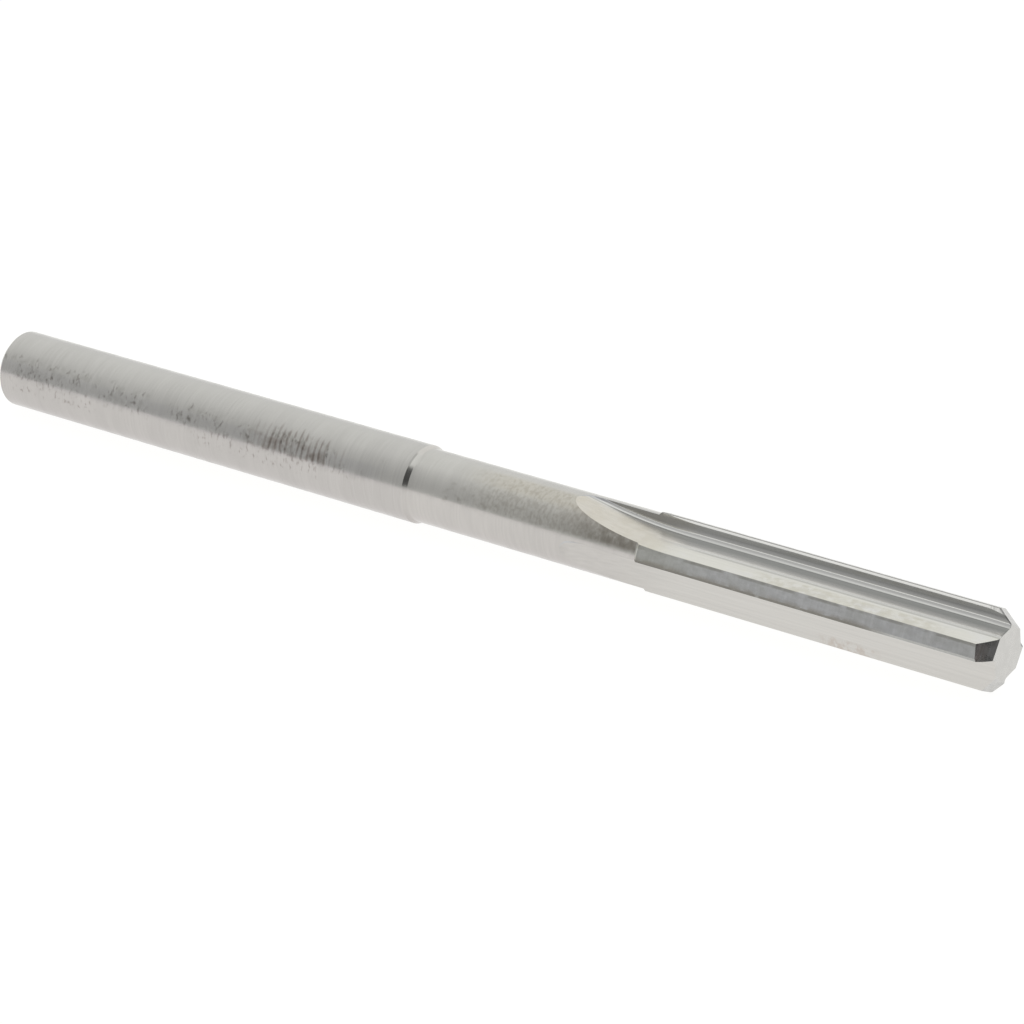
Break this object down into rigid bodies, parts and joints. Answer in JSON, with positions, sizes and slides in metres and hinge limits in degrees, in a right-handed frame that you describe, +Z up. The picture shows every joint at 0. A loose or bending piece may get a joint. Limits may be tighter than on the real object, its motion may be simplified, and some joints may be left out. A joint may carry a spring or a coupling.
{
  "type": "machine reamer",
  "caption": "Straight-flute machine reamer ground from one rod, with a plain round shank, a relieved neck and a chamfered cutting end, lying on its side.",
  "frame": {"origin": "middle of the flat end face of the shank, on the tool's axis", "axes": "+X along the tool's axis, from the shank to the cutting end; +Z up as the tool lies on a table; +Y to its side. Seen from the cutting end, the tool cuts turning the way that takes +Y to +Z"},
  "size_m": [0.0706, 0.0048, 0.0048],
  "materials": {
    "ground_carbide": "fine ground tungsten carbide, bright, with fine grinding lines round the shank and along the flutes"
  },
  "bodies": {
    "root": {"reamer": "ground_carbide"}
  },
  "joints": []
}
